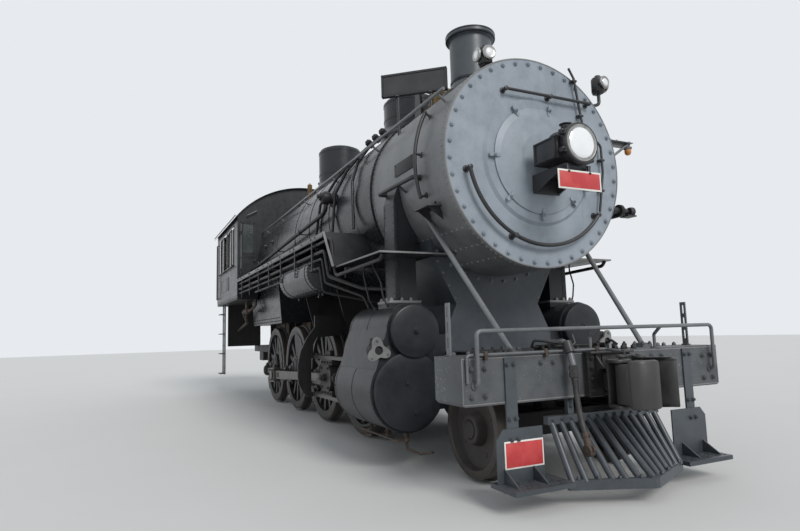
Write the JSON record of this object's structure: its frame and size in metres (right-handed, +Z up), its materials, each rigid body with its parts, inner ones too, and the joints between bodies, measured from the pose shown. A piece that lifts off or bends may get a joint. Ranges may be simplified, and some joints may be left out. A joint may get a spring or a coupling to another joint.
{
  "type": "steam locomotive",
  "caption": "Standard-gauge steam locomotive without tender: leading truck, coupled driving wheels with rods, boiler, smokebox with opening door, cab, pilot and knuckle coupler.",
  "frame": {"origin": "under the middle of the engine's overall box, level with the lowest points of the wheel flanges", "axes": "+X forward towards the smokebox and pilot, +Y to the engine's left, +Z up"},
  "size_m": [12.398, 3.12, 4.8086],
  "materials": {
    "frame_black": "satin, dusty",
    "boiler_black": "satin, weathered",
    "smokebox_grey": "matte aluminium-graphite paint",
    "cab_black": "satin",
    "beam_grey": "matte, speckled",
    "pilot_blue_grey": "matte",
    "cylinder_grey": "satin",
    "running_gear": "oily, dusty",
    "rods": "oily",
    "rusty_iron": "rusty",
    "coupler_iron": "rusty, rough",
    "hose_rubber": "dull",
    "brass_bell": "dull",
    "headlight_black": "satin",
    "board_black": "matte",
    "trim_grey": "matte"
  },
  "bodies": {
    "engine": {"air_compressor": "frame_black", "air_hose": "hose_rubber", "air_pipe": "trim_grey", "air_reservoirs": "boiler_black", "ash_pan": "rusty_iron", "backhead_fittings": "frame_black", "bell_stand": "boiler_black", "boiler": "boiler_black", "boiler_handrails": "trim_grey", "brake_rigging": "frame_black", "cab_floor": "frame_black", "cab_front": "cab_black", "cab_roof": "cab_black", "cab_sides": "cab_black", "coupler_head": "coupler_iron", "cylinder_saddle": "smokebox_grey", "firebox": "boiler_black", "frame_crossties": "frame_black", "front_braces": "smokebox_grey", "front_deck": "board_black", "guide_yokes": "frame_black", "guides": "rods", "hose_coupling": "rusty_iron", "left_cylinder": "cylinder_grey", "main_frames": "frame_black", "number_boards": "trim_grey", "pilot": "pilot_blue_grey", "pilot_beam": "beam_grey", "right_cylinder": "cylinder_grey", "running_boards": "board_black", "sand_dome": "boiler_black", "smokebox": "smokebox_grey", "smokebox_front": "smokebox_grey", "smokestack": "smokebox_grey", "spring_rigging": "frame_black", "steam_dome": "boiler_black", "steam_pipes": "cylinder_grey", "steps": "pilot_blue_grey", "tail_beam": "frame_black", "valve_rods": "running_gear"},
    "driver_axle_1": {"driver_axle_1": "running_gear"},
    "driver_axle_2": {"driver_axle_2": "running_gear"},
    "driver_axle_3": {"driver_axle_3": "running_gear"},
    "driver_axle_4": {"driver_axle_4": "running_gear"},
    "right_side_rods": {"right_side_rods": "rods"},
    "left_side_rods": {"left_side_rods": "rods"},
    "right_crosshead": {"right_crosshead": "running_gear"},
    "left_crosshead": {"left_crosshead": "running_gear"},
    "right_main_rod": {"right_main_rod": "rods"},
    "left_main_rod": {"left_main_rod": "rods"},
    "lead_truck": {"lead_truck_frame": "frame_black"},
    "lead_axle": {"lead_axle": "rusty_iron"},
    "smokebox_door": {"smokebox_door": "smokebox_grey", "headlight": "headlight_black"},
    "coupler_knuckle": {"coupler_knuckle": "coupler_iron"},
    "bell": {"bell": "brass_bell"},
    "right_cab_door": {"right_cab_door": "cab_black"},
    "left_cab_door": {"left_cab_door": "cab_black"},
    "roof_hatch": {"roof_hatch": "cab_black"},
    "fire_door": {"fire_door": "frame_black"}
  },
  "joints": [
    {"name": "driver_1_turn", "type": "hinge", "parent": "engine", "child": "driver_axle_1", "pos_m": [2.209, 0, 0.7526], "axis": [0, 1, 0], "continuous": true},
    {"name": "driver_2_turn", "type": "hinge", "parent": "engine", "child": "driver_axle_2", "pos_m": [0.6173, 0, 0.7526], "axis": [0, 1, 0], "continuous": true},
    {"name": "driver_turn", "type": "hinge", "parent": "engine", "child": "driver_axle_3", "pos_m": [-0.9744, 0, 0.7526], "axis": [0, 1, 0], "continuous": true},
    {"name": "driver_4_turn", "type": "hinge", "parent": "engine", "child": "driver_axle_4", "pos_m": [-2.5661, 0, 0.7526], "axis": [0, 1, 0], "continuous": true},
    {"name": "right_side_rods_turn", "type": "hinge", "parent": "driver_axle_3", "child": "right_side_rods", "pos_m": [-1.33242, -0.904, 0.62229], "axis": [0, 1, 0], "continuous": true},
    {"name": "right_crosshead_slide", "type": "slide", "parent": "engine", "child": "right_crosshead", "axis": [1, 0, 0], "range_m": [-0.0203, 0.7417]},
    {"name": "right_main_rod_swing", "type": "hinge", "parent": "right_crosshead", "child": "right_main_rod", "pos_m": [1.88994, -1.1175, 0.7526], "axis": [0, 1, 0], "range_deg": [-4.47, 9.1]},
    {"name": "left_side_rods_turn", "type": "hinge", "parent": "driver_axle_3", "child": "left_side_rods", "pos_m": [-0.84409, 0.904, 0.39458], "axis": [0, 1, 0], "continuous": true},
    {"name": "left_crosshead_slide", "type": "slide", "parent": "engine", "child": "left_crosshead", "axis": [1, 0, 0], "range_m": [-0.4914, 0.2706]},
    {"name": "left_main_rod_swing", "type": "hinge", "parent": "left_crosshead", "child": "left_main_rod", "pos_m": [2.36098, 1.1175, 0.7526], "axis": [0, 1, 0], "range_deg": [-0.41, 13.16]},
    {"name": "lead_truck_swing", "type": "hinge", "parent": "engine", "child": "lead_truck", "pos_m": [3.451, 0, 0.5486], "axis": [0, 0, 1], "range_deg": [-2, 2]},
    {"name": "lead_axle_turn", "type": "hinge", "parent": "lead_truck", "child": "lead_axle", "pos_m": [4.851, 0, 0.4476], "axis": [0, 1, 0], "continuous": true},
    {"name": "smokebox_door_swing", "type": "hinge", "parent": "engine", "child": "smokebox_door", "pos_m": [5.013, 0.56, 2.9226], "axis": [0, 0, 1], "range_deg": [0, 100]},
    {"name": "knuckle_swing", "type": "hinge", "parent": "engine", "child": "coupler_knuckle", "pos_m": [5.961, -0.135, 0.8736], "axis": [0, 0, -1], "range_deg": [0, 50]},
    {"name": "bell_swing", "type": "hinge", "parent": "engine", "child": "bell", "pos_m": [3.071, 0, 4.4286], "axis": [0, 1, 0], "range_deg": [-30, 30]},
    {"name": "right_cab_door_swing", "type": "hinge", "parent": "engine", "child": "right_cab_door", "pos_m": [-3.073, -1.44, 3.1286], "axis": [0, 0, -1], "range_deg": [0, 90]},
    {"name": "left_cab_door_swing", "type": "hinge", "parent": "engine", "child": "left_cab_door", "pos_m": [-3.073, 1.44, 3.1286], "axis": [0, 0, 1], "range_deg": [0, 90]},
    {"name": "roof_hatch_slide", "type": "slide", "parent": "engine", "child": "roof_hatch", "axis": [-1, 0, 0], "range_m": [0, 0.6]},
    {"name": "fire_door_swing", "type": "hinge", "parent": "engine", "child": "fire_door", "pos_m": [-4.094, 0.33, 2.5886], "axis": [0, 0, -1], "range_deg": [0, 110]}
  ],
  "couplings": [
    {"joint": "driver_1_turn", "follows": "driver_turn", "ratio": 1},
    {"joint": "driver_2_turn", "follows": "driver_turn", "ratio": 1},
    {"joint": "driver_4_turn", "follows": "driver_turn", "ratio": 1},
    {"joint": "right_side_rods_turn", "follows": "driver_turn", "ratio": -1},
    {"joint": "left_side_rods_turn", "follows": "driver_turn", "ratio": -1}
  ]
}
